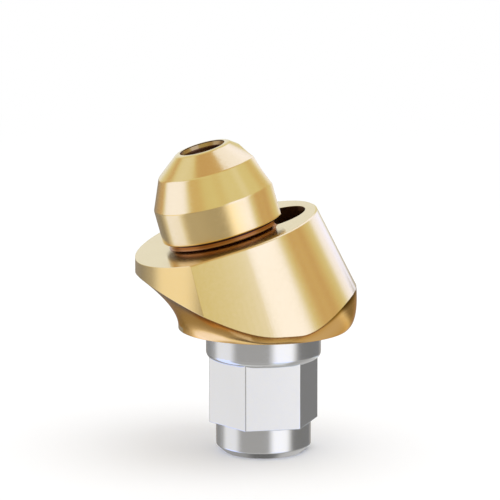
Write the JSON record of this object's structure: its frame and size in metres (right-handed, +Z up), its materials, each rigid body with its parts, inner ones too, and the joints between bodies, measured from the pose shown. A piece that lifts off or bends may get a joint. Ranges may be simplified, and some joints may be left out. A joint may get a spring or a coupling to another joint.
{
  "type": "angled dental abutment",
  "caption": "Angled screw-retained dental abutment: gold-coated cone and collar with a screw channel, on a bare hexagonal implant connection.",
  "frame": {"origin": "where the implant axis meets the seat plane, which lies on the implant's rim", "axes": "+Z up along the implant axis towards the gum side; the screw cone leans towards -X, turned 11 degrees towards -Y; the connection hangs below the seat"},
  "size_m": [0.0057, 0.0058, 0.0081],
  "materials": {
    "nitride_gold": "polished gold-coloured nitride coating on titanium, bare below the seat"
  },
  "bodies": {
    "root": {"abutment_body": "nitride_gold"}
  },
  "joints": []
}
